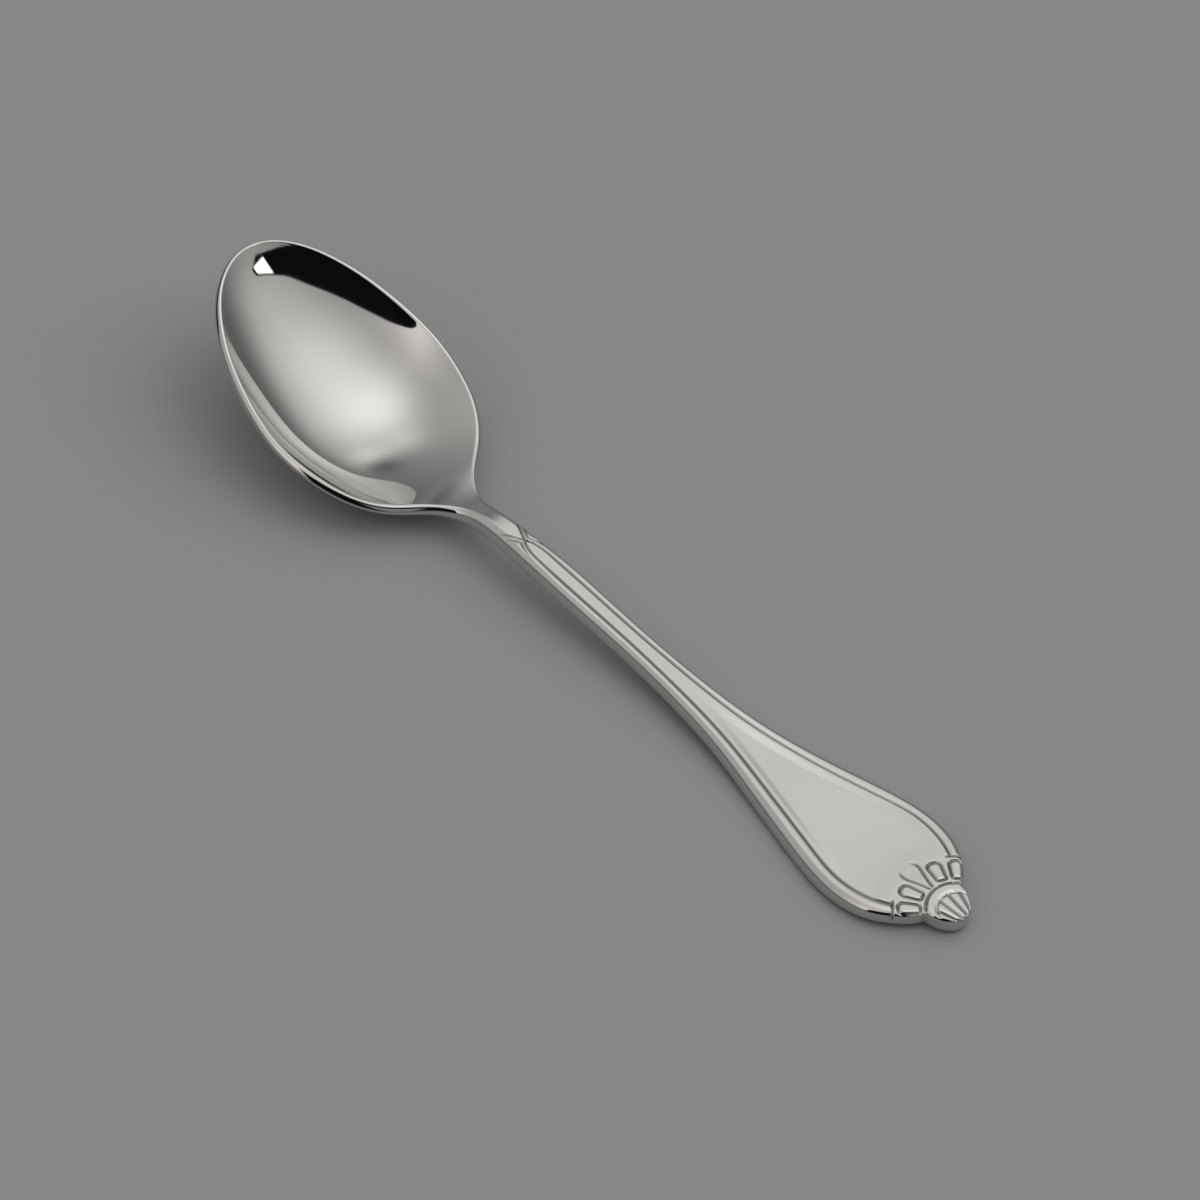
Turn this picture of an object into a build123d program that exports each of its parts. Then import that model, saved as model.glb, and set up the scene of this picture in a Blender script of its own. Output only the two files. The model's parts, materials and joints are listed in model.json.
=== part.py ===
from build123d import *
from math import atan2, cos, degrees, hypot, radians, sin, tan
import os

os.makedirs("parts", exist_ok=True)

# Driving dimensions, in millimetres and degrees.
overall_length = 140.0
bowl_reach = 45.5
bowl_width = 33.74
tip_height = 18.75
heel_height = 5.4
rim_sag = 1.9
rim_lift = 0.64
rim_round = 0.35
bowl_axis_height = 17.0
bowl_axis_lean = 8.5
bowl_gauge = 1.4
sheet_turn = 160.0
handle_gauge = 2.6
neck_width = 4.3
stem_width = 5.3
stem_height = 6.95
stem_end = 24.0
blade_width = 21.1
fan_rise = 0.6
top_round = 1.0
under_round = 0.6
border_width = 2.3
cross_x = -12.9
cross_spread = 4.2
mark_width = 0.34
mark_depth = 0.25
arc_radius = 4.85
arc_setback = 1.1
band_width = 1.3
petal_pitch = 22.5
petal_half_angle = 7.4
petal_root = 5.7
petal_tip = 8.85
petal_corner = 0.45
middle_petal_tip = 10.7
bead_end_radius = 9.6
bead_end_angle = 38.0
bead_end_sweep = 16.0
tab_width = 7.5
tab_round = 0.6
ray_pitch = 12.7
ray_count = 4
ray_pivot = 3.5

# The bowl points along -X, the handle along +X, and the handle's end lies on the table.
tall = 60.0
tip_x = -overall_length / 2
end_x = overall_length / 2
neck_x = tip_x + bowl_reach
handle_reach = end_x - neck_x
arc_x = end_x - arc_setback
half_bowl = bowl_width / 2
half_blade = blade_width / 2
half_stem = stem_width / 2
half_neck = neck_width / 2
half_tab = tab_width / 2
blade_height = handle_gauge
stem_drop = stem_height - blade_height
rim_tilt = degrees(atan2(tip_height - heel_height, bowl_reach))
rim_length = hypot(tip_height - heel_height, bowl_reach)

# Egg outline of the bowl: share of the reach, of the half width and of the rim's sag.
egg = [
    (0.037, 0.358, 0.09),
    (0.131, 0.646, 0.38),
    (0.252, 0.836, 0.67),
    (0.386, 0.950, 0.89),
    (0.523, 1.000, 0.99),
    (0.663, 0.948, 0.86),
    (0.793, 0.807, 0.65),
    (0.896, 0.555, 0.44),
    (0.980, 0.262, 0.00),
]

# Handle stations from the neck: share of the reach, half width, share of the border.
swell = [
    (0.024, half_neck * 1.06, 0.70),
    (0.055, half_neck, 0.70),
    (0.135, half_stem * 0.93, 0.70),
    (0.215, half_stem, 0.70),
    (0.337, half_stem * 0.985, 0.69),
    (0.416, half_stem * 1.065, 0.71),
    (0.491, half_blade * 0.321, 0.77),
    (0.562, half_blade * 0.417, 0.83),
    (0.628, half_blade * 0.558, 0.94),
    (0.692, half_blade * 0.718, 1.03),
    (0.755, half_blade * 0.876, 1.05),
    (0.821, half_blade * 0.992, 0.99),
    (0.859, half_blade * 0.986, 0.98),
    (0.897, half_blade * 0.889, 1.16),
    (0.929, half_blade * 0.688, 1.20),
    (0.953, half_blade * 0.428, 1.20),
]
first_border, last_border = 3, 14

# Side view of the handle: share of its reach, and height of the top line.
crown = [
    (0.000, heel_height),
    (0.055, blade_height + stem_drop * 0.93),
    (0.095, stem_height),
    (0.135, blade_height + stem_drop * 0.97),
    (0.270, blade_height + stem_drop * 0.74),
    (0.420, blade_height + stem_drop * 0.45),
    (0.560, blade_height + stem_drop * 0.18),
    (0.660, blade_height + stem_drop * 0.03),
    (0.740, blade_height),
    (0.830, blade_height + fan_rise * 0.17),
    (0.900, blade_height + fan_rise * 0.75),
    (0.940, blade_height + fan_rise),
    (1.000, blade_height + fan_rise * 0.42),
]
crown_points = []
for reach_share, height in crown:
    crown_points.append((neck_x + reach_share * handle_reach, height))

# Finial outline: share of the way from the notch to the end, and of the half width.
tab_shape = [(0.46, 0.85), (0.70, 0.66), (0.90, 0.40)]


def strip(low, high):
    """Band between two heights measured from the top line, right across the handle."""
    low_line = Spline(*[(x, z + low) for x, z in crown_points])
    high_line = Spline(*[(x, z + high) for x, z in crown_points])
    first = Line(low_line @ 0, high_line @ 0)
    last = Line(low_line @ 1, high_line @ 1)
    side = Plane.XZ.offset(-tall / 2) * make_face([low_line, last, high_line, first])
    return extrude(side, tall)


def upright(outline):
    """Tall block over a plan outline."""
    return extrude(Pos(0, 0, -tall / 2) * outline, tall)


def beyond(x, side):
    """Block on one side of a cross plane."""
    return Pos(x + side * tall, 0, 0) * Box(2 * tall, 2 * tall, 2 * tall)


def fan_point(radius, angle):
    """Plan point at a radius and an angle from the handle's axis, about the arc's centre."""
    return (arc_x - radius * cos(radians(angle)), radius * sin(radians(angle)))


def long_edges(body):
    """Edges that run along the outline of a body."""
    return body.edges().filter_by(lambda e: abs((e @ 1).X - (e @ 0).X) > 2 * handle_gauge)


def both_sides(body):
    """A body and its twin across the handle's axis."""
    return body + mirror(body, Plane.XZ)


# Plan outline: one smooth line round the bowl, the neck and the handle.
side_points = [(tip_x, 0.0)]
for reach_share, width_share, sag_share in egg:
    side_points.append((tip_x + reach_share * bowl_reach, width_share * half_bowl))
for reach_share, half_width, border_share in swell:
    side_points.append((neck_x + reach_share * handle_reach, half_width))
side_points.append((arc_x - arc_radius / 3, 0.0))
side_line = Spline(*side_points, tangents=((0, 1), (0, -1)), tangent_scalars=(1, 1))
blank = upright(make_face([side_line, mirror(side_line, Plane.XZ)]))

# Bowl sheet: a band turned about an axis that nears the rim line toward the heel, where it is deepest.
axis_slope = tan(radians(bowl_axis_lean))
floor_points = [(-rim_lift, 2 * rim_lift), (0.0, rim_lift)]
under_points = [(-rim_lift, rim_lift - bowl_gauge), (0.0, -bowl_gauge)]
for reach_share, width_share, sag_share in egg:
    along = reach_share * rim_length
    to_neck = max(0.0, 2 * reach_share - 1)
    gauge = bowl_gauge + (handle_gauge - bowl_gauge) * to_neck ** 2
    rim_drop = bowl_axis_height - along * axis_slope + rim_sag * sag_share - rim_lift * (1 - to_neck)
    floor_height = bowl_axis_height - hypot(width_share * half_bowl, rim_drop)
    floor_points.append((along, floor_height))
    under_points.append((along, floor_height - gauge))
sheet_length = rim_length + half_neck / 2
neck_rise = sheet_length * axis_slope
floor_points.append((sheet_length, neck_rise + rim_lift / 2))
under_points.append((sheet_length, neck_rise + rim_lift / 2 - handle_gauge))
floor_line = Spline(*floor_points)
under_line = Spline(*under_points)
tip_line = Line(floor_points[0], under_points[0])
neck_line = Line(floor_points[-1], under_points[-1])
band = Plane.XZ * make_face([floor_line, neck_line, under_line, tip_line])
bowl_axis = Axis((0, 0, bowl_axis_height), (1, 0, 0))
sheet = revolve(band.rotate(bowl_axis, -sheet_turn / 2), bowl_axis, sheet_turn)
sheet = Pos(tip_x, 0, tip_height) * Rot(0, rim_tilt + bowl_axis_lean, 0) * sheet
bowl = sheet & blank
bowl = fillet(long_edges(bowl), rim_round) & beyond(neck_x, -1)

# Handle: a strip under the top line, cut to the outline and rounded above and below.
handle = strip(-handle_gauge, 0.0) & blank & beyond(neck_x, 1)
handle = fillet(long_edges(handle).sort_by(Axis.Z)[-2:], top_round)
handle = fillet(long_edges(handle).sort_by(Axis.Z)[:2], under_round)
stem = handle & beyond(stem_end, -1)
blade = handle & beyond(stem_end, 1)
blade = blade - Pos(arc_x, 0, 0) * Cylinder(arc_radius, tall)

# Finial: a round tab that starts on the arc.
notch_angle = degrees(atan2(half_tab, (arc_radius ** 2 - half_tab ** 2) ** 0.5))
notch_x, notch_y = fan_point(arc_radius, notch_angle)
tab_points = [(notch_x, notch_y)]
for reach_share, width_share in tab_shape:
    tab_points.append((notch_x + reach_share * (end_x - notch_x), width_share * half_tab))
tab_side = Spline(*tab_points, (end_x, 0.0), tangents=((1, -0.1), (0, -1)), tangent_scalars=(1, 1))
inner_arc = ThreePointArc((notch_x, -notch_y), (arc_x - arc_radius, 0.0), (notch_x, notch_y))
tab = make_face([inner_arc, tab_side, mirror(tab_side, Plane.XZ)])
finial = strip(-handle_gauge, 0.0) & upright(tab)
tab_edges = finial.edges().filter_by(lambda e: (e @ 0.5).X > notch_x)
tab_edges = tab_edges.filter_by(lambda e: abs((e @ 1).Y - (e @ 0).Y) > half_tab / 2)
finial = fillet(tab_edges, tab_round)

# Struck lines on one side: thread with its crossing, bead end, two petals, half the middle petal.
thread_points = [
    (cross_x - cross_spread, -half_stem * 0.86),
    (cross_x - cross_spread * 0.64, -half_stem * 0.55),
    (cross_x - cross_spread * 0.29, -half_stem * 0.24),
    (cross_x, 0.0),
    (cross_x + cross_spread * 0.29, half_stem * 0.24),
    (cross_x + cross_spread * 0.95, half_stem * 0.37),
]
for reach_share, half_width, border_share in swell[first_border:last_border]:
    thread_points.append((neck_x + reach_share * handle_reach, half_width - border_share * border_width))
thread_points.append(fan_point(bead_end_radius, bead_end_angle))
marks = trace(Spline(*thread_points), mark_width)
bead_end = CenterArc((arc_x, 0), bead_end_radius, 180 - bead_end_angle - bead_end_sweep, bead_end_sweep)
marks += trace(bead_end, mark_width)
for step in (1, 2):
    low_angle = step * petal_pitch - petal_half_angle
    high_angle = step * petal_pitch + petal_half_angle
    petal_root_points = [fan_point(petal_root, low_angle), fan_point(petal_root, high_angle)]
    petal_tip_points = [fan_point(petal_tip, high_angle), fan_point(petal_tip, low_angle)]
    petal = make_face(Polyline(*petal_root_points, *petal_tip_points, close=True))
    petal = fillet(petal.vertices(), petal_corner)
    marks += offset(petal, mark_width / 2) - offset(petal, -mark_width / 2)
middle_points = [
    fan_point(petal_root, petal_half_angle * 0.45),
    fan_point(petal_tip * 0.85, petal_half_angle),
    fan_point(petal_tip * 1.02, petal_half_angle * 1.28),
    fan_point(middle_petal_tip * 0.95, petal_half_angle),
    fan_point(middle_petal_tip, petal_half_angle * 0.5),
]
marks += trace(Spline(*middle_points), mark_width)
lines = both_sides(extrude(marks, tall)) & strip(-mark_depth, tall / 2)
stem = stem - lines
blade = blade - lines

# Struck lines round the arc and along the finial's rays.
pivot_x = end_x + ray_pivot
arc_ring = Circle(arc_radius + mark_width) - Circle(arc_radius)
band_ring = Circle(arc_radius - band_width) - Circle(arc_radius - band_width - mark_width)
rays = Sketch()
for step in range(ray_count):
    angle = radians((step - (ray_count - 1) / 2) * ray_pitch)
    outer = pivot_x - notch_x - mark_width
    inner = ray_pivot + mark_width * 2
    start = (pivot_x - outer * cos(angle), outer * sin(angle))
    stop = (pivot_x - inner * cos(angle), inner * sin(angle))
    rays += trace(Line(start, stop), mark_width)
groove = strip(-mark_depth, tall / 2)
blade = blade - (upright(Pos(arc_x, 0) * arc_ring) & groove)
finial = finial - (upright(Pos(arc_x, 0) * band_ring) & groove) - (upright(rays) & groove)

# Set the lowest point on the table.
zones = {"bowl": bowl, "stem": stem, "blade": blade, "finial": finial}
lowest = min(zone.bounding_box().min.Z for zone in zones.values())
for name, zone in zones.items():
    export_step(Pos(0, 0, -lowest) * zone, f"parts/{name}.step")
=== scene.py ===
import json

import bmesh
import bpy
import numpy as np
from mathutils import Matrix, Vector

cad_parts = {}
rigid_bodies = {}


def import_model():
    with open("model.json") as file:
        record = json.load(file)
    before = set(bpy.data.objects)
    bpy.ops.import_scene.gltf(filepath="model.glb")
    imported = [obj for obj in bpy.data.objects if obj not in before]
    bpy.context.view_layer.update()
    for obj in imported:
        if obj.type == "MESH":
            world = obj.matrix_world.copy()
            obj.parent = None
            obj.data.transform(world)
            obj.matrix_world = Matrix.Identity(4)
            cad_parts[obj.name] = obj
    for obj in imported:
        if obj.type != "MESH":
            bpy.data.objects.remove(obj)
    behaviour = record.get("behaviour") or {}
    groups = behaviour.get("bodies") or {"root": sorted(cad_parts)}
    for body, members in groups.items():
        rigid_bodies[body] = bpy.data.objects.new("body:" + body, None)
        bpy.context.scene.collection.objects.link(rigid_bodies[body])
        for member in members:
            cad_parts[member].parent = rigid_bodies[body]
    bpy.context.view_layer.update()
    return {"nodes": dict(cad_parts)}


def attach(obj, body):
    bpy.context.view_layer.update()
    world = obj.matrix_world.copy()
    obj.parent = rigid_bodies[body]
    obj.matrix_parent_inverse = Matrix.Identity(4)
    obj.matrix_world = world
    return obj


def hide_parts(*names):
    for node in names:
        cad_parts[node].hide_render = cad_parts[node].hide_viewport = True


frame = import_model()
mm = 0.001
print("frame loaded:", ", ".join(sorted(frame["nodes"])))


def hexColour(code):  # sRGB hex to linear
    parts = [int(code[i:i + 2], 16) / 255 for i in (0, 2, 4)]
    return [p / 12.92 if p <= 0.04045 else ((p + 0.055) / 1.055) ** 2.4 for p in parts] + [1.0]


# one node, its settings, and what feeds its sockets
def addNode(tree, kind, links=None, **settings):
    node = tree.nodes.new(kind)
    for name, value in settings.items():
        if name.startswith("in_"):
            key = name[3:]
            socket = int(key) if key.isdigit() else key.replace("_", " ")
            node.inputs[socket].default_value = value
        else:
            setattr(node, name, value)
    for socket, source in (links or {}).items():
        tree.links.new(source, node.inputs[socket])
    return node


# cubic line through stations, with no jump in curvature
def smoothLine(knots, values, startSlope=None, endSlope=None):
    knots = np.asarray(knots, float)
    values = np.asarray(values, float).reshape(len(knots), -1)
    gaps = np.diff(knots)
    rates = np.diff(values, axis=0) / gaps[:, None]
    system = np.eye(len(knots))
    right = np.zeros(values.shape)
    for i in range(1, len(knots) - 1):
        system[i, i - 1:i + 2] = gaps[i - 1], 2 * (gaps[i - 1] + gaps[i]), gaps[i]
        right[i] = 6 * (rates[i] - rates[i - 1])
    if startSlope is not None:
        system[0, :2] = 2 * gaps[0], gaps[0]
        right[0] = 6 * (rates[0] - np.asarray(startSlope, float))
    if endSlope is not None:
        system[-1, -2:] = gaps[-1], 2 * gaps[-1]
        right[-1] = 6 * (np.asarray(endSlope, float) - rates[-1])
    bends = np.linalg.solve(system, right)

    def at(where):
        where = np.asarray(where, float).ravel()
        i = np.clip(np.searchsorted(knots, where) - 1, 0, len(gaps) - 1)
        h = gaps[i][:, None]
        a = (knots[i + 1] - where)[:, None]
        b = (where - knots[i])[:, None]
        cubic = (bends[i] * a ** 3 + bends[i + 1] * b ** 3) / (6 * h)
        before = (values[i] / h - bends[i] * h / 6) * a
        after = (values[i + 1] / h - bends[i + 1] * h / 6) * b
        return np.squeeze(cubic + (before + after))

    return at


def lengthsAlong(stations):  # running length from the first station
    return np.concatenate([[0], np.cumsum(np.hypot(*np.diff(stations, axis=0).T))])


def ramp(low, high, x):  # soft step from 0 to 1
    t = np.clip((x - low) / (high - low), 0, 1)
    return t * t * (3 - 2 * t)


def smootherRamp(low, high, x):  # the same with no jump in curvature, for mirror surfaces
    t = np.clip((x - low) / (high - low), 0, 1)
    return t ** 3 * (6 * t * t - 15 * t + 10)


def hump(x, width):  # 1 in the middle, falling off to both sides
    return np.exp(-(x / width) ** 2)


# Spoon: one stamping, in millimetres, bowl toward -X.
# A pair with no note gives the limits between which a form fades in or out.
spoon = {
    "outline": [  # x, half width
        (-70, 0), (-68.32, 6.04), (-64.02, 10.90), (-58.54, 14.10), (-52.46, 16.03), (-46.21, 16.86),
        (-39.83, 16.0), (-33.92, 13.61), (-29.21, 9.36), (-25.4, 4.42), (-22.23, 2.42), (-19.3, 2.17),
        (-11.74, 2.46), (-4.18, 2.65), (7.35, 2.61), (14.81, 2.82), (21.9, 3.39), (28.61, 4.40),
        (34.85, 5.89), (40.89, 7.57), (46.85, 9.24), (53.08, 10.46), (56.68, 10.39), (60.27, 9.38),
        (63.29, 7.26), (65.56, 4.52), (65.95, 3.75),
    ],
    "tab": [(65.95, 3.75), (67.74, 3.19), (68.75, 2.48), (69.58, 1.50), (70, 0)],
    "tabStart": (1, -0.1),    # way the finial leaves the notch
    "edgeHeight": [  # x, height of the rim's crest, then of the handle's top
        (-70, 18.99), (-69.66, 18.83), (-67.9, 17.99), (-63.65, 16.16), (-58.3, 14.02), (-52.3, 11.84),
        (-46.2, 9.82), (-40, 8.15), (-34.3, 6.66), (-29.7, 5.6), (-25.8, 5.45), (-22.4, 5.88),
        (-19.3, 6.62), (-15.5, 6.92), (-11.7, 6.78), (1.0, 5.8), (15.2, 4.55), (28.4, 3.38),
        (37.9, 2.74), (45.4, 2.62), (53.9, 2.72), (60.55, 3.05), (64.3, 3.18), (70, 2.85),
    ],

    # rim and bowl
    "rimRound": [  # x, radius of the rim, half the sheet
        (-70, 0.38), (-67.5, 0.47), (-63, 0.61), (-57, 0.66), (-46, 0.67), (-33, 0.67), (-17, 0.67),
    ],
    "rimBevel": 1.35,    # 2 is a true round, 1 a flat bevel
    "rimDrop": 1.2,    # fall of the bevel, in rim radii
    "dishRise": [  # x, centre of the section above the rim
        (-70, 18.96), (-60, 18.47), (-50, 17.52), (-42, 15.92), (-34, 13.41), (-24, 9.53), (-17, 8.4),
    ],
    "dishFlat": [(-70, -0.35), (-24, -1.41)],    # share of a parabola in the section
    "bowlEnd": -17,
    "neck": (-31, -18),    # rim and underside turn into the handle
    "heel": (-44.5, -16.5),    # floor of the bowl rises into the handle
    "heelInset": (0.35, 1.1),    # from the outline, where the rim's turn gives way to the heel's
    "thicken": (-36, -20),    # sheet grows to the handle's gauge
    "handleGauge": 2.6,
    "lipInset": 0.8,    # handle's lower corner
    "lipRound": 0.6,
    "underBlend": 1.2,    # how soon the underside leaves the side's lower edge

    # the floor is settled under the crest by a polynomial along x
    "settleRounds": 4,
    "settleOrder": 5,
    "settleCentre": -45,
    "settleSpan": 25,
    "slopeFrom": 1.7,    # rim radii inside the outline
    "slopeStep": 0.3,
    "slopeMost": 1.2,

    # border of the handle: bead, thread and sunk field
    "border": [  # x, width from the outline to the thread
        (-70, 1.0), (-40, 1.0), (-26, 1.05), (-18, 1.35), (-8, 1.6), (8, 1.6), (16, 1.64), (24, 1.85),
        (32, 2.06), (40, 2.28), (48, 2.31), (54, 2.2), (60, 2.2), (63.3, 1.7), (65.95, 0.96), (70, 0.9),
    ],
    "beadHeight": [  # x, fall of the bead to its side
        (-40, 1.0), (-30, 1.2), (-20, 1.85), (-10, 1.85), (24, 1.75), (56, 1.6), (62, 1.15),
        (65.95, 0.6), (70, 0.6),
    ],
    "beadRound": [  # x, width of the rounding from the outline
        (-40, 0.62), (-30, 0.64), (-25, 0.9), (-20, 1.4), (-14, 1.45), (-8, 1.15), (0, 1.05),
        (24, 1.2), (40, 1.45), (54, 1.4), (60, 1.36), (63.3, 1.05), (65.95, 0.6), (70, 0.56),
    ],
    "beadFall": 0.1,    # from the bead's crest to the thread
    "beadEnd": 9.6,    # from the arc's centre
    "beadFade": 0.1,
    "stopWidth": 0.17,    # cut across the bead's end
    "stopTurn": (36, 38.5),    # degrees
    "fieldLift": 0.06,
    "fieldEdge": 0.3,
    "fieldStart": 0.6,
    "fieldEnd": (9.2, 12.5),
    "fieldSink": 0.2,
    "sinkAlong": (16, 34),
    "sinkFromArc": (9, 30),
    "sinkAcross": (0.35, 1.9),
    "grooveDepth": 0.2,
    "grooveWidth": 0.14,
    "grooveStart": (-17.4, -15.2),
    "grooveInset": (0.4, 1.0),
    "crossing": [  # x, side of the thread where it crosses the axis
        (-18, -2.75), (-15.6, -1.46), (-14.1, -0.68), (-12.9, 0), (-11.7, 0.62), (-10.6, 0.88),
        (-8.9, 0.99), (-6, 1.02),
    ],
    "crossBlend": (-9.5, -6.5),
    "crossStart": (-17.4, -15.6),
    "crossEnd": (-12.4, -10.2),
    "crossCut": 0.8,    # share of the groove's depth
    "threadWidth": 0.62,
    "threadRaise": 0.06,
    "threadRound": 0.2,

    # fan: radii from the arc's centre, angles in degrees
    "fanStart": 54,
    "fanInset": 0.5,
    "arcCentre": 68.9,
    "petalStep": 22.5,
    "petalHalf": 7.4,
    "petalRoot": 5.65,
    "petalTip": 8.9,
    "petalCorners": (0.95, 0.5),    # at the tip and the root
    "petalDepth": 0.21,
    "petalWidth": 0.16,
    "petalRaise": 0.1,
    "petalSlope": 0.6,
    "middlePetal": [  # radius, half angle
        (5.2, 2.6), (6.6, 5.4), (8.0, 8.2), (9.0, 9.5), (9.8, 8.6), (10.5, 5.6), (11.2, 1.5),
    ],
    "middleTurn": 40,
    "middleStart": (5.2, 5.7),
    "middleEnd": (9.5, 10.5),
    "middleLevel": (6.2, 9.4),    # its face sinks back into the field
    "middleRaise": 0.07,
    "middleSlope": 0.55,
    "bandOuter": 4.85,
    "bandInner": 3.55,
    "bandSlopes": (0.25, 0.2),    # outer and inner side
    "bandRaise": 0.1,
    "bandPast": 1.0,    # past the arc's centre
    "bandGap": 0.12,
    "bandCut": 0.17,
    "bandTurn": 75,
    "rayPivot": 73.5,
    "rayStep": 12.7,
    "rayInset": 0.08,
    "rayOpen": 1.2,
    "rayBlend": 0.4,
    "raySill": 0.2,
    "rayRaise": 0.1,
    "raySlope": (0.05, 0.55),
    "rayCut": 0.85,
    "rayGroove": (0.02, 0.27),

    # mesh: rows along the outline, columns from the axis over the edge to the underside
    "rows": [  # from x, to x, count
        (-70, -58, 46), (-58, -26, 58), (-26, -18.5, 22), (-18.5, -9, 70), (-9, 24, 41), (24, 56, 50),
        (56, 65.95, 140),
    ],
    "notchRows": 6,
    "tabRows": 66,
    "innerColumns": 34,
    "borderColumns": 32,
    "wallColumns": 4,
    "lipColumns": 4,
    "underColumns": 10,
    "rimShare": 0.62,    # of the border's columns, on the rim
    "threadShare": 0.74,    # of the border's reach, out to the thread
    "edgeCrowd": (3.5, 0.12),    # extra columns, and over what share
    "threadCrowd": (4, 0.1),
}


def buildSpoon(s):
    # half outline, with even steps along it
    samples = 6000
    nudge = 0.002    # for reading a direction off a line
    main = np.array(s["outline"], float)
    lengths = lengthsAlong(main)
    mainLine = smoothLine(lengths, main, startSlope=(0, 1))
    tab = np.array(s["tab"], float)
    tabLengths = lengthsAlong(tab)
    tabLine = smoothLine(tabLengths, tab, startSlope=s["tabStart"], endSlope=(0, -1))
    fineSteps = np.linspace(0, lengths[-1], samples)
    fine = mainLine(fineSteps)

    def frameAt(line, steps):  # points and outward normals in plan
        points = line(steps)
        ahead = line(steps + nudge)
        behind = line(steps - nudge)
        tangent = (ahead - behind) / np.linalg.norm(ahead - behind, axis=1)[:, None]
        return points, np.column_stack([-tangent[:, 1], tangent[:, 0]])

    steps = []
    for low, high, count in s["rows"]:
        a, b = np.interp([low, high], fine[:, 0], fineSteps)
        steps.append(np.linspace(a, b, count, endpoint=False))
    steps = np.concatenate(steps + [[lengths[-1]]])
    points, normals = frameAt(mainLine, steps)
    tabPoints, tabNormals = frameAt(tabLine, np.linspace(0, tabLengths[-1], s["tabRows"]))
    turn = np.linspace(0, 1, s["notchRows"] + 2)[1:-1, None]
    between = normals[-1] * (1 - turn) + tabNormals[0] * turn
    between /= np.linalg.norm(between, axis=1)[:, None]
    notch = np.repeat(points[-1:], s["notchRows"], axis=0)
    points = np.concatenate([points, notch, tabPoints])
    normals = np.concatenate([normals, between, tabNormals])
    points[0], normals[0] = s["outline"][0], (-1, 0)
    points[-1], normals[-1] = s["tab"][-1], (1, 0)

    edgeAt, rimAt, riseAt, borderAt, beadAt, beadRoundAt, crossAt = (
        smoothLine(*zip(*s[name])) for name in
        ("edgeHeight", "rimRound", "dishRise", "border", "beadHeight", "beadRound", "crossing"))
    border = borderAt(points[:, 0])
    reach = border / s["threadShare"]
    inner = points - normals * reach[:, None]
    inner[0, 1] = inner[-1, 1] = 0

    # bowl: the rim is round inside and bevelled outside, and the floor leaves it on a tangent
    bowlTip, bowlEnd = s["outline"][0][0], s["bowlEnd"]
    rim = rimAt(np.minimum(points[:, 0], bowlEnd))
    middle = points - normals * rim[:, None]
    inBowl = points[:, 0] < bowlEnd
    settle = np.zeros(s["settleOrder"] + 1)
    leastDrop = 1.0    # keeps the root real beyond the section's end

    def settleAt(x):  # x scaled for the polynomial
        return (x - s["settleCentre"]) / s["settleSpan"]

    def dish(x, y, extra=0.0):  # bowl floor, or the underside by the extra thickness
        width = np.interp(x, middle[inBowl, 0], middle[inBowl, 1])
        bend = rimAt(np.minimum(x, bowlEnd))
        rise = riseAt(np.clip(x, bowlTip, bowlEnd))
        flat = np.interp(x, *zip(*s["dishFlat"]))
        big = np.hypot(width, rise)
        drop = np.sqrt(np.maximum(big ** 2 - y ** 2, leastDrop))
        sag = (rise - drop) * (1 - flat) + (y ** 2 / (big + rise) - big + rise) * flat
        lean = y / drop * (1 - flat) + 2 * y / (big + rise) * flat
        height = edgeAt(np.clip(x, middle[0, 0], None)) - bend
        height = height + np.polyval(settle, settleAt(np.minimum(x, bowlEnd)))
        return height + sag + (bend - extra) * np.sqrt(1 + lean ** 2)

    def gaugeAt(x):
        sheet = 2 * rimAt(np.minimum(x, bowlEnd))
        return sheet + (s["handleGauge"] - sheet) * ramp(*s["thicken"], x) ** 2

    def offRim(distance):  # floor height at a distance inside the outline
        p = points - normals * np.reshape(distance, (-1, 1))
        return dish(p[:, 0], np.abs(p[:, 1]))

    for _ in range(s["settleRounds"]):  # until the crest has its height
        fall = offRim(s["slopeFrom"] * rim) - offRim(s["slopeFrom"] * rim + s["slopeStep"])
        slope = np.clip(np.arctan2(fall, s["slopeStep"]), 0, s["slopeMost"])
        rimStart = rim * (1 + np.sin(slope))
        rimCentre = offRim(rimStart) - rim * np.cos(slope)
        error = edgeAt(middle[inBowl, 0]) - rim[inBowl] - rimCentre[inBowl]
        settle = settle + np.polyfit(settleAt(middle[inBowl, 0]), error, s["settleOrder"])
    print("rim settled within", round(float(np.abs(error).max()), 3), "mm")

    def fan(x, y):  # struck petals, arc band and finial rays: height, and share of groove
        farOff = 9
        behind = 1.2    # radians off a petal's axis, clear of the petal
        dx = s["arcCentre"] - x
        r = np.hypot(dx, y)
        theta = np.degrees(np.arctan2(np.abs(y), dx))
        raised = np.zeros_like(x)
        cut = np.zeros_like(x)

        # outer petals, closed outlines with rounded corners
        centre = (s["petalTip"] + s["petalRoot"]) / 2
        half = (s["petalTip"] - s["petalRoot"]) / 2
        corner = np.where(r > centre, *s["petalCorners"])
        for k in (1, 2):
            turn = np.radians(theta - k * s["petalStep"])
            side = np.abs(r * np.sin(turn)) - (r * np.tan(np.radians(s["petalHalf"])) - corner)
            length = np.abs(r - centre) - (half - corner)
            past = np.hypot(np.maximum(side, 0), np.maximum(length, 0))
            away = past + np.minimum(np.maximum(side, length), 0) - corner
            away = np.where(np.abs(turn) > behind, farOff, away)
            cut = np.maximum(cut, hump(away, s["petalWidth"]))
            raised += s["petalRaise"] * ramp(0, s["petalSlope"], -away)

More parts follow.
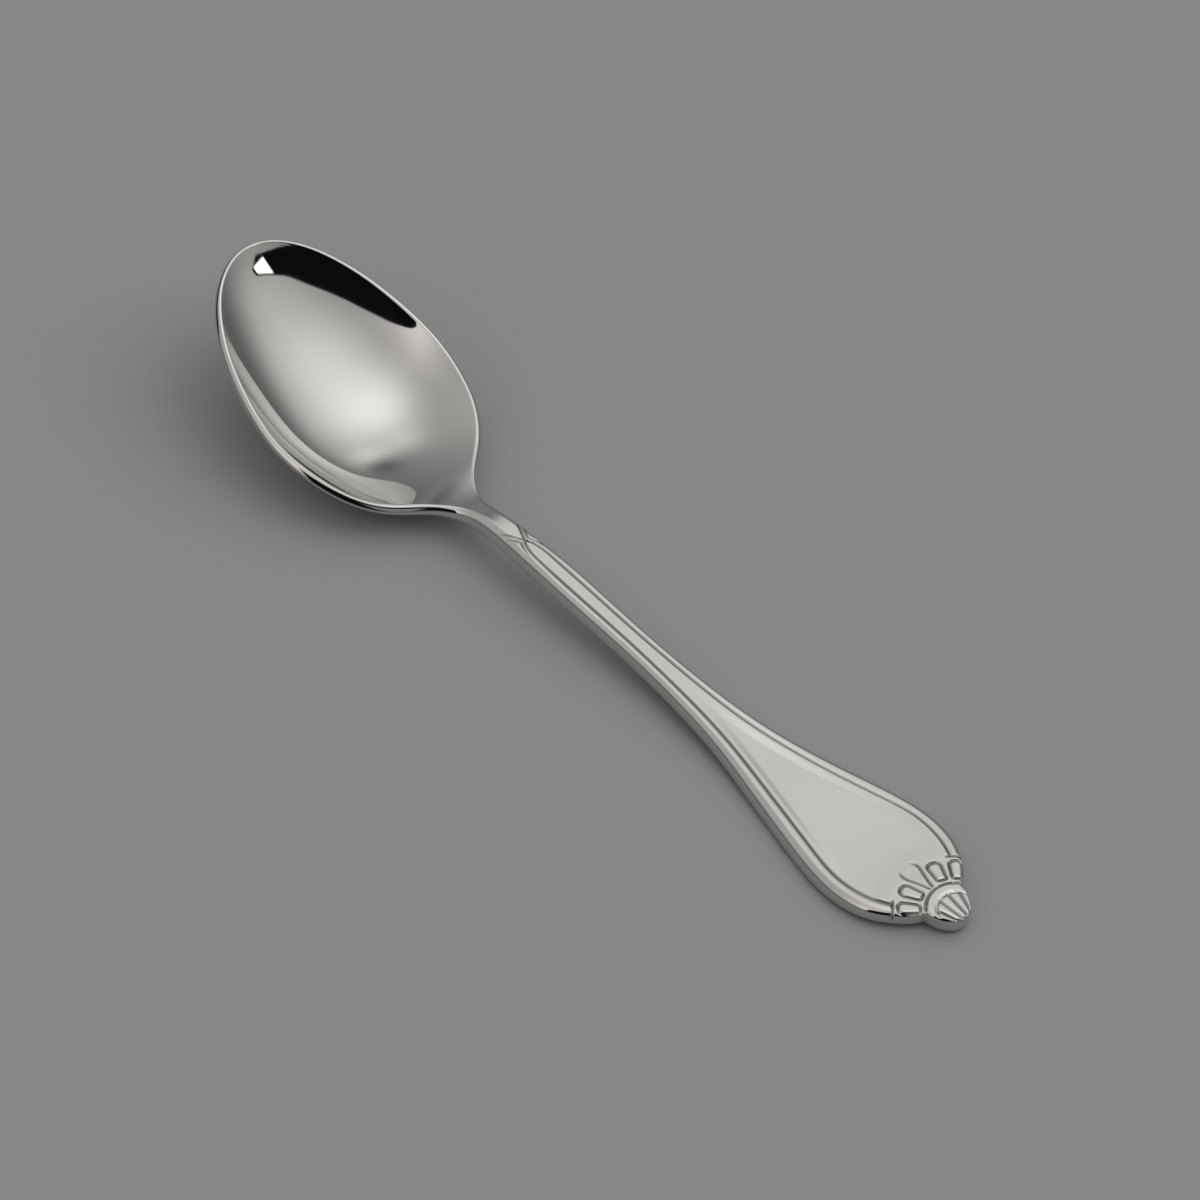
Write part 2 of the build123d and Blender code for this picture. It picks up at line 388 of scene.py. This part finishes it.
        # middle petal, open at its tip
        radii, angles = zip(*s["middlePetal"])
        petal = smoothLine(radii, angles)
        side = r * np.sin(np.radians(theta - petal(np.clip(r, radii[0], radii[-1]))))
        fade = ramp(*s["middleStart"], r) * (1 - ramp(*s["middleEnd"], r)) * (theta < s["middleTurn"])
        cut = np.maximum(cut, fade * hump(side, s["petalWidth"]))
        face = s["middleRaise"] * ramp(*s["middleStart"], r) * (1 - ramp(*s["middleLevel"], r))
        raised += face * (theta < s["middleTurn"]) * ramp(0, s["middleSlope"], -side)

        # arc band and the groove round it
        ring = hump(r - s["bandOuter"] - s["bandGap"], s["bandCut"])
        cut = np.maximum(cut, ring * (theta < s["bandTurn"]))
        outer, within = s["bandSlopes"]
        band = ramp(0, outer, s["bandOuter"] - r) * ramp(0, within, r - s["bandInner"])
        raised += s["bandRaise"] * band * (dx > -s["bandPast"])

        # rays between the band and the finial's edge
        pivot = s["rayPivot"] - x
        ray = np.degrees(np.arctan2(np.abs(y), pivot)) / s["rayStep"]
        near = np.abs(ray - np.round(ray - 0.5) - 0.5) * s["rayStep"]
        gap = pivot * np.sin(np.radians(near))
        start = s["bandInner"] - s["rayInset"] - r + farOff * ramp(0.0, s["rayOpen"], -dx)
        blend = s["rayBlend"]
        lobe = np.minimum(gap, start) - 0.25 * np.maximum(blend - np.abs(gap - start), 0) ** 2 / blend
        pool = ramp(0, s["raySill"], start)
        raised += pool * s["rayRaise"] * ramp(*s["raySlope"], lobe)
        cut = np.maximum(cut, s["rayCut"] * pool * (1 - ramp(*s["rayGroove"], lobe)))
        return raised, cut, r, theta

    # one flat sheet of faces, later laid round half of the spoon
    rowCount = len(points)
    counts = [s[name + "Columns"] for name in ("inner", "border", "wall", "lip", "under")]
    ends = np.cumsum(counts)
    bm = bmesh.new()
    bmesh.ops.create_grid(bm, x_segments=rowCount - 1, y_segments=int(ends[-1]), size=1)
    fanRow = rowCount - s["tabRows"] - s["notchRows"] - s["rows"][-1][2]
    firstRow = -1 + 2 * fanRow / (rowCount - 1)
    lastColumn = -1 + 2 * ends[0] / ends[-1]
    hair = 1e-6
    finer = [e for e in bm.edges if abs(e.verts[0].co.x - e.verts[1].co.x) < hair
             and e.verts[0].co.x > firstRow and max(v.co.y for v in e.verts) < lastColumn + hair]
    bmesh.ops.subdivide_edges(bm, edges=finer, cuts=1, use_grid_fill=True)

    slack = 1e-4    # covers the rounding of the sheet's own coordinates
    co = np.array([v.co for v in bm.verts])
    row = np.rint((co[:, 0] + 1) / 2 * (rowCount - 1)).astype(int)
    column = (co[:, 1] + 1) / 2 * ends[-1] - slack
    top = column <= ends[1]
    side = ~top & (column <= ends[3])
    rowNeck = smootherRamp(*s["neck"], points[row, 0])

    # distance from the outline: round of the rim, or closer at the edge and the thread
    share = np.linspace(0, 1, 2001)
    edgeExtra, edgeSpread = s["edgeCrowd"]
    threadExtra, threadSpread = s["threadCrowd"]
    density = 1 + edgeExtra * hump(share, edgeSpread)
    density = density + threadExtra * hump(share - s["threadShare"], threadSpread)
    sums = np.concatenate([[0], np.cumsum((density[1:] + density[:-1]) / 2)])
    borderShare = np.interp(np.linspace(0, 1, s["borderColumns"] + 1), sums / sums[-1], share)
    t = np.clip((ends[1] - column) / counts[1], 0, 1)
    onRim = np.minimum(t / s["rimShare"], 1)
    pastRim = np.clip((t - s["rimShare"]) / (1 - s["rimShare"]), 0, 1)
    bowlOff = rim[row] * (1 - np.cos(onRim * (np.pi / 2 + slope[row])))
    bowlOff = bowlOff + (reach - rimStart)[row] * pastRim
    handleOff = np.interp(t * counts[1], np.arange(counts[1] + 1), borderShare) * reach[row]
    off = bowlOff * (1 - rowNeck) + handleOff * rowNeck
    down, lip, under = (np.clip((column - ends[k]) / counts[k + 1], 0, 1) for k in (1, 2, 3))
    turnDown = (np.pi / 2 - slope[row]) * (down + lip) / 2
    sideOff = rim[row] * (1 - np.cos(turnDown)) * (1 - rowNeck) + s["lipInset"] * lip * rowNeck

    # plan position
    plan = points[row] - normals[row] * np.where(top, off, sideOff)[:, None]
    lead = inner[row]
    fromAxis = np.clip(column / ends[0], 0, 1)
    onInner = column < ends[0]
    x = np.where(onInner, lead[:, 0], plan[:, 0] * (1 - under) + lead[:, 0] * under)
    y = np.where(onInner, lead[:, 1] * fromAxis, plan[:, 1] * (1 - under))
    y = np.maximum(y, 0)
    depth = np.where(onInner, reach[row] + lead[:, 1] * (1 - fromAxis), off)

    # top of the bowl: floor, then the rim
    lean = np.clip((rim[row] - depth) / rim[row], -1, 1)
    bevel = s["rimBevel"]
    outside = 1 - s["rimDrop"] * (1 - (1 - np.maximum(lean, 0) ** bevel) ** (1 / bevel))
    inside = np.sqrt(1 - np.minimum(lean, 0) ** 2)
    rimTop = rimCentre[row] + rim[row] * np.where(lean > 0, outside, inside)
    bowlTop = np.where(depth < rimStart[row], rimTop, dish(x, y))

    # top of the handle: bead and thread
    width = border[row]
    crest = beadRoundAt(np.maximum(points[row, 0], s["beadRound"][0][0]))
    overEdge = np.clip(crest - depth, 0, None) / crest
    shoulder = beadAt(x) * (1 - np.sqrt(np.maximum(1 - overEdge ** 2, 0)))
    across = depth - width
    blendCross = ramp(*s["crossBlend"], x)
    nearCross = np.minimum(x, s["crossing"][-1][0])
    halfStep = 0.05
    crossRate = (crossAt(nearCross + halfStep) - crossAt(nearCross - halfStep)) / (2 * halfStep)
    crossDistance = (np.abs(crossAt(nearCross)) - y) * np.cos(np.arctan(crossRate))
    thread = across * blendCross + crossDistance * (1 - blendCross)
    raised, cut, r, theta = fan(x, y)

    # the bead falls to the thread, and the field inside it sinks along the blade
    inField = ramp(0, s["fieldStart"], across)
    beadStop = ramp(s["beadEnd"] - s["beadFade"], s["beadEnd"] + s["beadFade"], r)
    fieldStop = beadStop * (1 - inField) + ramp(*s["fieldEnd"], r) * inField
    toThread = ramp(0, 1, (depth - crest) / (width - crest))
    handle = edgeAt(x) - shoulder
    handle -= s["beadFall"] * toThread * blendCross * fieldStop
    handle += s["fieldLift"] * ramp(0, s["fieldEdge"], thread) * blendCross * fieldStop
    sink = s["fieldSink"] * ramp(*s["sinkAlong"], x) * ramp(*s["sinkFromArc"], r)
    handle -= sink * ramp(*s["sinkAcross"], across)

    # past the crossing each thread is a ridge with a groove on both sides
    clearEdge = ramp(*s["grooveInset"], depth)
    groove = hump(thread, s["grooveWidth"]) * ramp(*s["grooveStart"], x) * clearEdge * beadStop
    atCross = ramp(*s["crossStart"], x) * (1 - ramp(*s["crossEnd"], x)) * clearEdge
    second = s["crossCut"] * atCross * hump(thread + s["threadWidth"], s["grooveWidth"])
    groove = np.maximum(groove, second)
    handle += s["threadRaise"] * atCross * hump(thread + s["threadWidth"] / 2, s["threadRound"])
    stop = hump(r - s["beadEnd"], s["stopWidth"]) * ramp(*s["stopTurn"], theta)
    struck = np.where(x > s["fanStart"], 1, 0) * ramp(0.0, s["fanInset"], depth)
    handle -= s["grooveDepth"] * np.maximum(groove, stop)
    handle += (raised - s["petalDepth"] * cut) * struck
    # groove share: makes the steel rougher there and darkens its colour as painted shade
    grooveDullAndShade = np.clip(np.maximum(np.maximum(groove, stop), cut * struck), 0, 1) * top

    # bowl into handle
    neck = smootherRamp(*s["neck"], x)
    heel = smootherRamp(*s["heel"], x)
    neck += (heel - neck) * smootherRamp(*s["heelInset"], depth)
    topHeight = bowlTop * (1 - neck) + handle * neck

    # sides and underside
    def underAt(x, y):
        share = smootherRamp(*s["neck"], x)
        return dish(x, y, gaugeAt(x)) * (1 - share) + (edgeAt(x) - s["handleGauge"]) * share

    handleLow = edgeAt(x) - s["handleGauge"]
    handleHigh = edgeAt(x) - beadAt(x)
    corner = handleLow + s["lipRound"] * (1 - np.sqrt(np.maximum(1 - (1 - lip) ** 2, 0)))
    wall = handleHigh * (1 - down) + (handleLow + s["lipRound"]) * down
    handleSide = np.where(lip > 0, corner, wall)
    low = 1 - s["rimDrop"]
    rimSide = rimCentre[row] + rim[row] * (low - (1 + low) * np.sin(turnDown))
    sideHeight = rimSide * (1 - rowNeck) + handleSide * rowNeck
    endX, endY, endZ = np.zeros(rowCount), np.zeros(rowCount), np.zeros(rowCount)
    atEnd = side & (lip > 0.99)
    for rowEnd, values in ((endX, x), (endY, y), (endZ, sideHeight)):
        rowEnd[row[atEnd]] = values[atEnd]
    gapAtEnd = endZ - underAt(endX, endY)
    fromEnd = np.hypot(x - endX[row], y - endY[row])
    underHeight = underAt(x, y) + gapAtEnd[row] * np.exp(-fromEnd / s["underBlend"])
    z = np.where(top, topHeight, np.where(side, sideHeight, underHeight))
    print("lowest point", round(float(z.min()), 3), "mm")
    z = np.maximum(z, 0.0)

    # lay the sheet in place, weld it and mirror it
    weld, speck = 1e-7, 1e-8
    # the groove share is kept on the points, for the steel's roughness and its painted groove shade
    dull = bm.verts.layers.float.new("grooveDullAndShade")
    for vert, px, py, pz, cutShare in zip(bm.verts, x, y, z, grooveDullAndShade):
        vert.co = Vector((px, py, pz)) * mm
        vert[dull] = cutShare
    bmesh.ops.remove_doubles(bm, verts=bm.verts, dist=weld)
    bmesh.ops.mirror(bm, geom=bm.verts[:] + bm.edges[:] + bm.faces[:], matrix=Matrix.Identity(4),
                     merge_dist=weld, axis="Y")
    bmesh.ops.remove_doubles(bm, verts=bm.verts, dist=weld)
    bmesh.ops.dissolve_degenerate(bm, dist=speck, edges=bm.edges)
    bmesh.ops.recalc_face_normals(bm, faces=bm.faces)
    for face in bm.faces:
        face.smooth = True
    mesh = bpy.data.meshes.new("spoonBody")
    bm.to_mesh(mesh)
    bm.free()
    piece = bpy.data.objects.new("spoonBody", mesh)
    bpy.context.collection.objects.link(piece)
    return piece


spoonBody = buildSpoon(spoon)
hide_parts("bowl", "stem", "blade", "finial")
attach(spoonBody, "root")
print("spoon body:", len(spoonBody.data.polygons), "faces")


steel = {
    "colour": "D3D3CF",
    # colour of the painted shade in the struck grooves
    "paintedGrooveShadeColour": "80807E",
    "bowlRoughness": 0.035,
    "handleRoughness": 0.09,
    "handleFrom": (-28, -14),    # millimetres along x
    "hazeSize": 6,    # millimetres, patches left by the buffing wheel
    "hazeDetail": 3.0,
    "hazeRange": (0.3, 0.7),
    "hazeShare": (0.8, 1.25),    # of the roughness
    "recessRoughness": 0.3,
    "recessFade": (0.25, 1.0),
}


# stamped stainless, buffed to a mirror: clear in the bowl, hazier along the handle
def mirrorPolishedSteel(s):
    material = bpy.data.materials.new("mirrorPolishedSteel")
    material.use_nodes = True
    tree = material.node_tree
    tree.nodes.clear()
    place = addNode(tree, "ShaderNodeTexCoord").outputs["Object"]
    along = addNode(tree, "ShaderNodeSeparateXYZ", {0: place}).outputs["X"]
    start, end = s["handleFrom"]
    buffed = addNode(tree, "ShaderNodeMapRange", {"Value": along}, in_1=start * mm, in_2=end * mm,
                     in_3=s["bowlRoughness"], in_4=s["handleRoughness"])
    haze = addNode(tree, "ShaderNodeTexNoise", {"Vector": place},
                   in_Scale=1 / (s["hazeSize"] * mm), in_Detail=s["hazeDetail"])
    uneven = addNode(tree, "ShaderNodeMapRange", {"Value": haze.outputs["Fac"]},
                     in_1=s["hazeRange"][0], in_2=s["hazeRange"][1],
                     in_3=s["hazeShare"][0], in_4=s["hazeShare"][1])
    rough = addNode(tree, "ShaderNodeMath", {0: buffed.outputs["Result"], 1: uneven.outputs["Result"]},
                    operation="MULTIPLY")
    # struck grooves are rougher, and painted shade darkens their colour
    grooveDullAndShade = addNode(tree, "ShaderNodeAttribute", attribute_name="grooveDullAndShade").outputs["Fac"]
    dull = addNode(tree, "ShaderNodeMapRange", {"Value": grooveDullAndShade, 3: rough.outputs["Value"]},
                   in_1=s["recessFade"][0], in_2=s["recessFade"][1], in_4=s["recessRoughness"])
    tone = addNode(tree, "ShaderNodeMix", {"Factor": grooveDullAndShade}, data_type="RGBA",
                   in_6=hexColour(s["colour"]), in_7=hexColour(s["paintedGrooveShadeColour"]))
    shader = addNode(tree, "ShaderNodeBsdfPrincipled",
                     {"Roughness": dull.outputs["Result"], "Base Color": tone.outputs[2]}, in_Metallic=1.0)
    addNode(tree, "ShaderNodeOutputMaterial", {"Surface": shader.outputs["BSDF"]})
    return material


spoonBody.data.materials.append(mirrorPolishedSteel(steel))
print("steel finished")


# Floor, light and camera
stage = {"floorColour": "AFAFAF", "floorRoughness": 0.9, "floorSize": 6.0}    # size in metres


def buildFloor(s):
    bm = bmesh.new()
    bmesh.ops.create_grid(bm, x_segments=1, y_segments=1, size=s["floorSize"] / 2)
    mesh = bpy.data.meshes.new("tableTop")
    bm.to_mesh(mesh)
    bm.free()
    floor = bpy.data.objects.new("tableTop", mesh)
    bpy.context.collection.objects.link(floor)
    material = bpy.data.materials.new("matteGreyBoard")    # uncoated card, no gloss
    material.use_nodes = True
    shader = material.node_tree.nodes["Principled BSDF"]
    shader.inputs["Base Color"].default_value = hexColour(s["floorColour"])
    shader.inputs["Roughness"].default_value = s["floorRoughness"]
    mesh.materials.append(material)


buildFloor(stage)
print("floor laid")

# Light tent: soft white cloth overhead, open and dark on the right, one bare bulb seen at the
# opening's corner. Angles in degrees, softness of edges as a share of the tent's radius.
tent = {
    "cloth": 0.2,
    "glow": [  # azimuth, elevation, tightness, strength, tint
        (56.3, 77.3, 7.8, 0.76, "FFFFFF"),
        (65.7, 44.7, 7.5, 0.54, "FFFFFF"),
        (121.6, 37.7, 47, 0.89, "FFFFFF"),
        (125.4, 35.4, 60, -0.80, "FFFFFF"),
        (-71.6, 33.2, 9.6, 0.68, "FFF2F2"),
        (-145.8, 26.1, 2.8, 0.29, "FFFFFF"),
        (145, 56, 42, 0.26, "FFFFFF"),
    ],
    "horizon": {"tone": 0.15, "fade": (2, 28)},
    "darkTone": (0.004, 0.005, 0.006),
    "sideEdge": 0.015,
    "opening": {
        "start": -75, "end": 41,
        "low": (5, 11),
        "top": (-0.5963, 0.2958, 0.7463), "topLevel": 0.135, "topEdge": 0.005,
        "wave": [(-32, 51, 33, 0.033), (-76, 36, 200, -0.028)],    # azimuth, elevation, tightness, depth
        "sill": (-0.5927, 0.1662, 0.7881), "sillEdge": (-0.018, -0.002),
        "sillEnd": -18, "sillFade": (-0.2, 0.0),
        "corner": (28, 26.8), "cornerEdge": 0.008, "cornerFade": (-0.04, 0.0),
    },
    "skirt": {"from": 165, "to": 218, "top": (16, 22)},
    "bulb": {
        "from": 28.3, "to": 39.2, "edge": 0.022,
        "low": ((29, 29.3), (38.5, 26.9)), "lowEdge": 0.0025,
        "topInset": (0.004, 0.018),
        "strength": 2.6,
    },
}


def toward(azimuth, elevation):
    a, e = np.radians([azimuth, elevation])
    return (np.cos(e) * np.cos(a), np.cos(e) * np.sin(a), np.sin(e))


def upright(azimuth, side=1):  # faces on past an azimuth, or back from it
    a = np.radians(azimuth)
    return (-np.sin(a) * side, np.cos(a) * side, 0)


def heights(elevations):
    return np.sin(np.radians(elevations))


def buildTent(s):
    world = bpy.data.worlds.new("lightTent")
    bpy.context.scene.world = world
    world.use_nodes = True
    tree = world.node_tree
    tree.nodes.clear()
    way = addNode(tree, "ShaderNodeTexCoord").outputs["Generated"]
    up = (0, 0, 1)

    def softSpot(azimuth, elevation, tightness):  # 1 in its middle
        facing = addNode(tree, "ShaderNodeVectorMath", {0: way}, operation="DOT_PRODUCT",
                         in_1=toward(azimuth, elevation))
        near = addNode(tree, "ShaderNodeMath", {0: facing.outputs["Value"]}, operation="MULTIPLY_ADD",
                       in_1=tightness, in_2=-tightness)
        spot = addNode(tree, "ShaderNodeMath", {0: near.outputs["Value"]}, operation="EXPONENT")
        return spot.outputs["Value"]

    def clothEdge(facing, low, high, falls=False, waves=()):  # 0 to 1 across it, or 1 to 0
        level = addNode(tree, "ShaderNodeVectorMath", {0: way}, operation="DOT_PRODUCT",
                        in_1=facing).outputs["Value"]
        for azimuth, elevation, tightness, depth in waves:
            bend = softSpot(azimuth, elevation, tightness)
            level = addNode(tree, "ShaderNodeMath", {0: bend, 2: level}, operation="MULTIPLY_ADD",
                            in_1=-depth).outputs["Value"]
        edge = addNode(tree, "ShaderNodeMapRange", {"Value": level}, interpolation_type="SMOOTHSTEP",
                       in_1=low, in_2=high, in_3=float(falls), in_4=float(not falls))
        return edge.outputs["Result"]

    def between(low, high, edge):  # the two sides of a patch, at azimuths
        return clothEdge(upright(low), 0.0, edge), clothEdge(upright(high, -1), 0.0, edge)

    def patch(*edges):  # 1 inside all its edges
        share = edges[0]
        for edge in edges[1:]:
            share = addNode(tree, "ShaderNodeMath", {0: share, 1: edge},
                            operation="MULTIPLY").outputs["Value"]
        return share

    # cloth, its glows, and the dimmer horizon
    light = addNode(tree, "ShaderNodeCombineXYZ", in_0=s["cloth"], in_1=s["cloth"],
                    in_2=s["cloth"]).outputs["Vector"]
    for azimuth, elevation, tightness, strength, tint in s["glow"]:
        colour = [c * strength for c in hexColour(tint)[:3]]
        glow = addNode(tree, "ShaderNodeVectorMath", {"Scale": softSpot(azimuth, elevation, tightness)},
                       operation="SCALE", in_0=colour)
        light = addNode(tree, "ShaderNodeVectorMath",
                        {0: light, 1: glow.outputs["Vector"]}).outputs["Vector"]
    overHorizon = clothEdge(up, *heights(s["horizon"]["fade"]))
    light = addNode(tree, "ShaderNodeMix", {"Factor": overHorizon, 5: light}, data_type="VECTOR",
                    in_4=(s["horizon"]["tone"],) * 3).outputs[1]

    # dark opening, cut by its sill and its corner, and the dark skirt behind
    o = s["opening"]
    overSill = addNode(tree, "ShaderNodeMath", {
        0: clothEdge(o["sill"], *o["sillEdge"]),
        1: clothEdge(upright(o["sillEnd"]), *o["sillFade"], falls=True),
    }, operation="MAXIMUM").outputs["Value"]
    cornerSide, cornerTop = o["corner"][0], heights(o["corner"][1])
    overCorner = addNode(tree, "ShaderNodeMath", {
        0: clothEdge(up, cornerTop - o["cornerEdge"], cornerTop + o["cornerEdge"]),
        1: clothEdge(upright(cornerSide), *o["cornerFade"], falls=True),
    }, operation="MAXIMUM").outputs["Value"]
    underTop = clothEdge(o["top"], o["topLevel"] - o["topEdge"], o["topLevel"] + o["topEdge"],
                         falls=True, waves=o["wave"])
    opening = patch(overSill, overCorner, underTop, clothEdge(up, *heights(o["low"])),
                    *between(o["start"], o["end"], s["sideEdge"]))
    k = s["skirt"]
    skirt = patch(*between(k["from"], k["to"], s["sideEdge"]),
                  clothEdge(up, *heights(k["top"]), falls=True))
    dark = addNode(tree, "ShaderNodeMath", {0: opening, 1: skirt}, operation="MAXIMUM")
    light = addNode(tree, "ShaderNodeMix", {"Factor": dark.outputs["Value"], 4: light},
                    data_type="VECTOR", in_5=s["darkTone"]).outputs[1]

    # bare bulb under the opening's top
    b = s["bulb"]
    overLow = clothEdge(tuple(np.cross(*(toward(*d) for d in b["low"]))), 0.0, b["lowEdge"])
    insetNear, insetFar = b["topInset"]
    underInset = clothEdge(o["top"], o["topLevel"] - insetFar, o["topLevel"] - insetNear, falls=True)
    bare = patch(*between(b["from"], b["to"], b["edge"]), overLow, underInset)
    light = addNode(tree, "ShaderNodeMix", {"Factor": bare, 4: light}, data_type="VECTOR",
                    in_5=(b["strength"],) * 3).outputs[1]
    back = addNode(tree, "ShaderNodeBackground", {"Color": light})
    addNode(tree, "ShaderNodeOutputWorld", {"Surface": back.outputs["Background"]})


buildTent(tent)
print("tent lit")

cameraSet = {
    "place": (304.615, -517.135, 685.657),    # millimetres
    "right": (0.73500, 0.65602, 0.17149),
    "up": (-0.58962, 0.49347, 0.63940),
    "lens": 196.22,
    "sensor": 36,
    "clipEnd": 50,    # metres
}


def addCamera(s):
    data = bpy.data.cameras.new("photoCamera")
    data.sensor_width = s["sensor"]
    data.lens = s["lens"]
    data.clip_end = s["clipEnd"]
    camera = bpy.data.objects.new("photoCamera", data)
    right = Vector(s["right"]).normalized()
    up = Vector(s["up"]).normalized()
    back = right.cross(up)
    turn = Matrix((right, up, back)).transposed().to_4x4()
    turn.translation = Vector(s["place"]) * mm
    camera.matrix_world = turn
    bpy.context.collection.objects.link(camera)
    bpy.context.scene.camera = camera


addCamera(cameraSet)
bpy.context.scene.view_settings.view_transform = "Standard"
print("camera placed")
